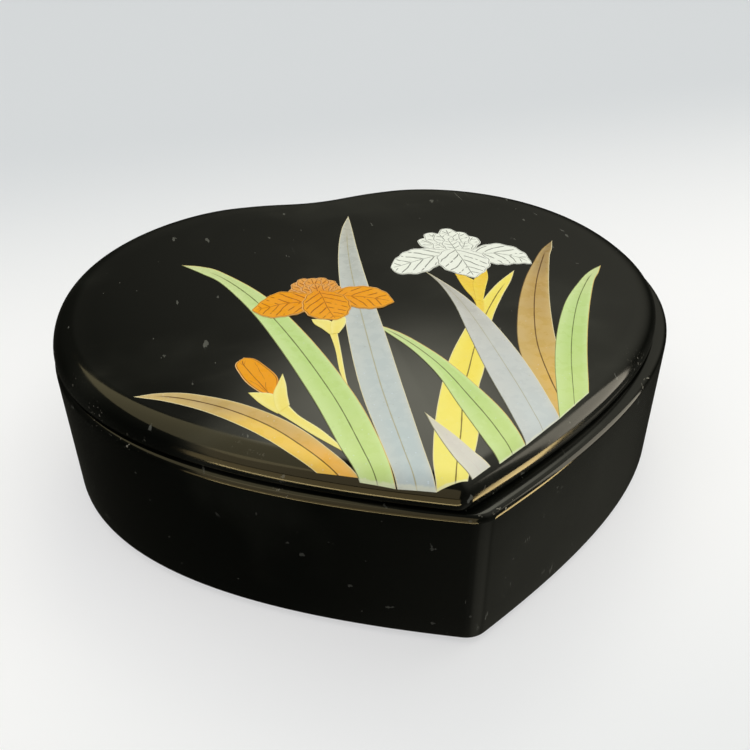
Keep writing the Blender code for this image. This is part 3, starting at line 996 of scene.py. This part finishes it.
blade("leaf_lilac_small", "lilac", 1, (-1.4, -36.2),
      [(-1.2, -40.7), (-0.4, -46.3), (0.8, -50.7)],
      [(-0.2, -38.9), (1.4, -42.2), (3.1, -46.5), (4.2, -48.9)])
blade("leaf_grey_right", "grey", 2, (11.6, 4.2),
      [(12.8, -1.5), (13.0, -9.0), (12.2, -18.0), (11.4, -29.0), (11.2, -38.2), (10.9, -45.9)],
      [(13.6, -0.6), (15.6, -6.2), (17.3, -14.0), (18.3, -24.0), (18.5, -32.1), (18.1, -41.7)])
blade("leaf_green_centre", "green", 3, (-3.0, -11.0),
      [(-1.0, -15.0), (1.6, -21.0), (3.4, -28.0), (4.1, -35.5), (4.9, -42.4), (5.7, -48.6)],
      [(0.9, -15.2), (3.8, -20.0), (6.4, -25.6), (8.8, -33.0), (10.4, -39.4), (10.8, -45.9)])
blade("leaf_brown_right", "brown", 0, (41.1, 10.8),
      [(37.3, 7.5), (33.7, 3.1), (28.8, -3.6), (23.7, -12.5), (19.1, -23.5), (17.6, -33.2), (17.6, -41.8)],
      [(39.5, 7.5), (37.2, 3.6), (31.7, -8.1), (27.7, -18.2), (25.2, -26.1), (21.9, -39.3)])
blade("leaf_green_right", "green", 1, (45.9, -0.9),
      [(42.2, -3.0), (38.2, -6.6), (32.8, -12.5), (27.3, -20.9), (23.0, -29.3), (19.1, -38.9), (18.1, -41.7)],
      [(44.0, -3.6), (41.2, -7.1), (35.3, -16.9), (30.1, -26.7), (25.2, -37.1)])

# %% [markdown]
# ## The flowers
# An iris has three falls that droop outwards and a knot of ruffled standards above them. It
# sits in two pale sepals on a stem. The falls are blades with a frilled edge. The standards
# are a fan of small petals, each from its base, its tip and its width, laid so that the
# front ones cover the feet of the ones behind.

# %% Tools for a flower
def petal(name, colour, layer, base, tip, width, frill=0.12):
    """A small spoon-shaped petal from base to tip."""
    base, tip = np.array(base, float), np.array(tip, float)
    way = tip - base
    side = np.array([-way[1], way[0]]) / np.linalg.norm(way) * width / 2
    shape = ((0.97, 0.45), (0.82, 0.92), (0.55, 0.95), (0.25, 0.6), (0.0, 0.3))
    left = [tuple(base + way * along + side * out) for along, out in shape]
    right = [tuple(base + way * along - side * out) for along, out in shape]
    return blade(name, colour, layer, tuple(tip), left, right, frill=frill, frills=4)


def fan(name, colour, layer, base, tips, width):
    """Petals from one base to several tips, from the outside of the fan to its middle."""
    for number, tip in enumerate(tips, start=1):
        petal(f"{name}_{number}", colour, layer + 0.5 * number, base, tip, width)


# %% The orange iris and its bud
blade("iris_orange_stem", "stem", 1, (-10.9, -28.0),
      [(-11.2, -23.3), (-10.5, -17.0), (-10.4, -12.0), (-10.6, -10.5)],
      [(-10.6, -24.5), (-9.8, -18.5), (-9.1, -13.0), (-8.8, -10.5)])
blade("iris_orange_sepal_left", "stem", 6, (-12.4, -7.4),
      [(-12.2, -9.0), (-11.2, -10.9), (-10.4, -12.8)], [(-10.6, -8.0), (-9.2, -9.2), (-9.2, -12.6)])
blade("iris_orange_sepal_right", "stem", 7, (-7.0, -7.0),
      [(-8.4, -8.2), (-9.6, -9.8), (-10.2, -12.8)], [(-6.7, -9.0), (-7.4, -10.9), (-8.8, -12.8)])
fan("iris_orange_standard", "ruffle", 6, (-9.6, -0.4),
    [(-14.2, 3.4), (-5.2, 2.4), (-13.0, 5.7), (-6.0, 4.8), (-11.4, 6.9), (-7.6, 6.3), (-9.5, 6.6)], 3.4)
fan("iris_orange_ruffle", "ruffle", 10, (-9.4, -1.2),
    [(-12.9, 2.7), (-6.2, 1.9), (-11.2, 4.2), (-7.6, 3.8), (-9.3, 4.3)], 2.9)
blade("iris_orange_fall_left", "orange", 12, (-21.8, -1.5),
      [(-21.1, -3.0), (-19.1, -5.0), (-16.3, -5.3), (-13.6, -4.9), (-11.0, -3.4)],
      [(-19.4, 1.3), (-16.6, 3.1), (-14.3, 2.8), (-12.0, 1.6), (-10.2, 0.2)], frill=0.10)
blade("iris_orange_fall_right", "orange", 12, (2.9, -5.8),
      [(2.4, -2.2), (0.2, 0.5), (-2.7, 1.4), (-5.2, 1.3), (-8.0, 0.2)],
      [(0.4, -7.0), (-2.2, -6.9), (-4.4, -5.7), (-6.2, -4.2), (-8.6, -2.6)], frill=0.10)
blade("iris_orange_fall_front", "orange", 14, (-8.4, -8.9),
      [(-11.6, -7.4), (-13.1, -4.9), (-13.0, -2.2), (-11.8, 0.2), (-10.4, 1.6)],
      [(-6.3, -7.9), (-4.9, -5.4), (-4.8, -2.6), (-5.8, -0.4), (-7.8, 1.2)], frill=0.12)
blade("bud_stem", "stem", 2, (-14.9, -41.2),
      [(-15.6, -40.2), (-18.4, -36.4), (-21.0, -32.4), (-22.6, -30.0)],
      [(-15.2, -39.6), (-17.1, -35.6), (-19.5, -31.8), (-20.6, -29.0)])
blade("bud_orange", "bud", 3, (-25.3, -15.2),
      [(-26.9, -16.6), (-26.6, -19.2), (-25.8, -22.0), (-24.2, -24.8), (-23.0, -26.0)],
      [(-23.7, -16.0), (-22.4, -18.2), (-21.0, -21.6), (-21.3, -24.4), (-22.0, -26.2)], rib=0.35)
blade("bud_sepal_left", "stem", 4, (-26.0, -24.3),
      [(-24.9, -26.9), (-23.6, -29.0), (-22.5, -30.4)], [(-24.0, -24.9), (-22.2, -26.0), (-20.8, -29.2)])
blade("bud_sepal_right", "stem", 5, (-20.0, -21.2),
      [(-21.2, -23.4), (-22.3, -25.6), (-22.6, -28.4), (-22.4, -30.2)],
      [(-20.0, -24.0), (-20.3, -26.8), (-20.4, -29.0)])

# %% [markdown]
# ## The white iris
# The second iris is built in the same way, in white with slate veins. It sits higher, with
# golden sepals, and its standards stand up more.

# %% The white iris
blade("iris_white_stem", "calyx", 1, (12.5, -21.0),
      [(14.4, -16.0), (16.6, -10.6), (17.0, -6.6)], [(15.4, -16.0), (18.2, -10.6), (19.0, -6.6)])
blade("iris_white_sepal_left", "calyx", 3, (17.0, 2.4),
      [(16.7, -1.6), (16.7, -5.2), (17.2, -8.8)], [(18.9, -0.6), (19.7, -3.4), (18.6, -9.0)])
blade("iris_white_sepal_right", "calyx", 4, (23.4, 2.0),
      [(21.4, 0.2), (19.0, -2.4), (17.4, -8.0)], [(22.4, -1.4), (20.4, -5.2), (18.3, -9.4)])
fan("iris_white_standard", "white", 4, (20.2, 8.4),
    [(15.0, 17.0), (25.9, 15.6), (17.4, 19.4), (24.0, 18.4), (21.7, 20.6), (19.5, 18.6)], 4.4)
fan("iris_white_ruffle", "white", 8, (20.3, 7.6), [(17.4, 14.4), (23.4, 13.6), (20.4, 15.4)], 4.0)
blade("iris_white_fall_left", "white", 10, (5.9, 6.6),
      [(6.5, 4.0), (10.1, 3.0), (12.9, 3.8), (15.6, 5.8), (18.6, 8.2)],
      [(7.4, 9.4), (10.6, 12.4), (13.8, 12.9), (16.6, 12.0), (19.6, 10.2)], frill=0.16)
blade("iris_white_fall_right", "white", 10, (32.7, 1.9),
      [(33.2, 5.8), (32.1, 9.3), (29.1, 11.6), (26.1, 11.2), (23.0, 9.8), (20.8, 9.2)],
      [(29.8, 2.5), (27.6, 2.5), (25.2, 3.6), (23.2, 5.4), (21.6, 7.0)], frill=0.16)
blade("iris_white_fall_front", "white", 12, (19.9, -1.1),
      [(16.8, 1.7), (15.2, 4.6), (15.5, 8.0), (17.4, 10.4), (19.2, 11.2)],
      [(22.4, 0.6), (24.9, 3.6), (25.1, 7.0), (23.2, 9.8), (21.4, 10.8)], frill=0.16)

# %% [markdown]
# ## The floor under the box
# A plain pale sheet far larger than the box.

# %% The floor
FLOOR_SIZE = 4.0
bm = bmesh.new()
bmesh.ops.create_grid(bm, x_segments=1, y_segments=1, size=FLOOR_SIZE / 2)
mesh = bpy.data.meshes.new("studio_floor")
bm.to_mesh(mesh)
bm.free()
floor = bpy.data.objects.new("studio_floor", mesh)
bpy.context.scene.collection.objects.link(floor)
# The sheet glows a little by itself: painted light that fills in the shadow round the box.
paper = Finish("glowing_pale_paper", Roughness=0.9, Specular_IOR_Level=0.1, Emission_Strength=1.0)
depth = paper.node("ShaderNodeSeparateXYZ", {}, [paper.place], output="Y")
# Colour and glow fall off behind the box and a little in front of it, as painted shade. The glow is strongest
# round the box.
near, far = depth.over(-0.03, -0.10), depth.over(0.02, 0.20)
paper.drive("Base Color", paper.mix(paper.mix((0.42, 0.42, 0.42), (0.32, 0.33, 0.34), far),
                                    (0.40, 0.41, 0.42), near))
paper.drive("Emission Color", paper.mix(paper.mix((0.55, 0.55, 0.555), (0.36, 0.375, 0.395), far),
                                        (0.44, 0.445, 0.455), near))
mesh.materials.append(paper.material)
floor.visible_glossy = False
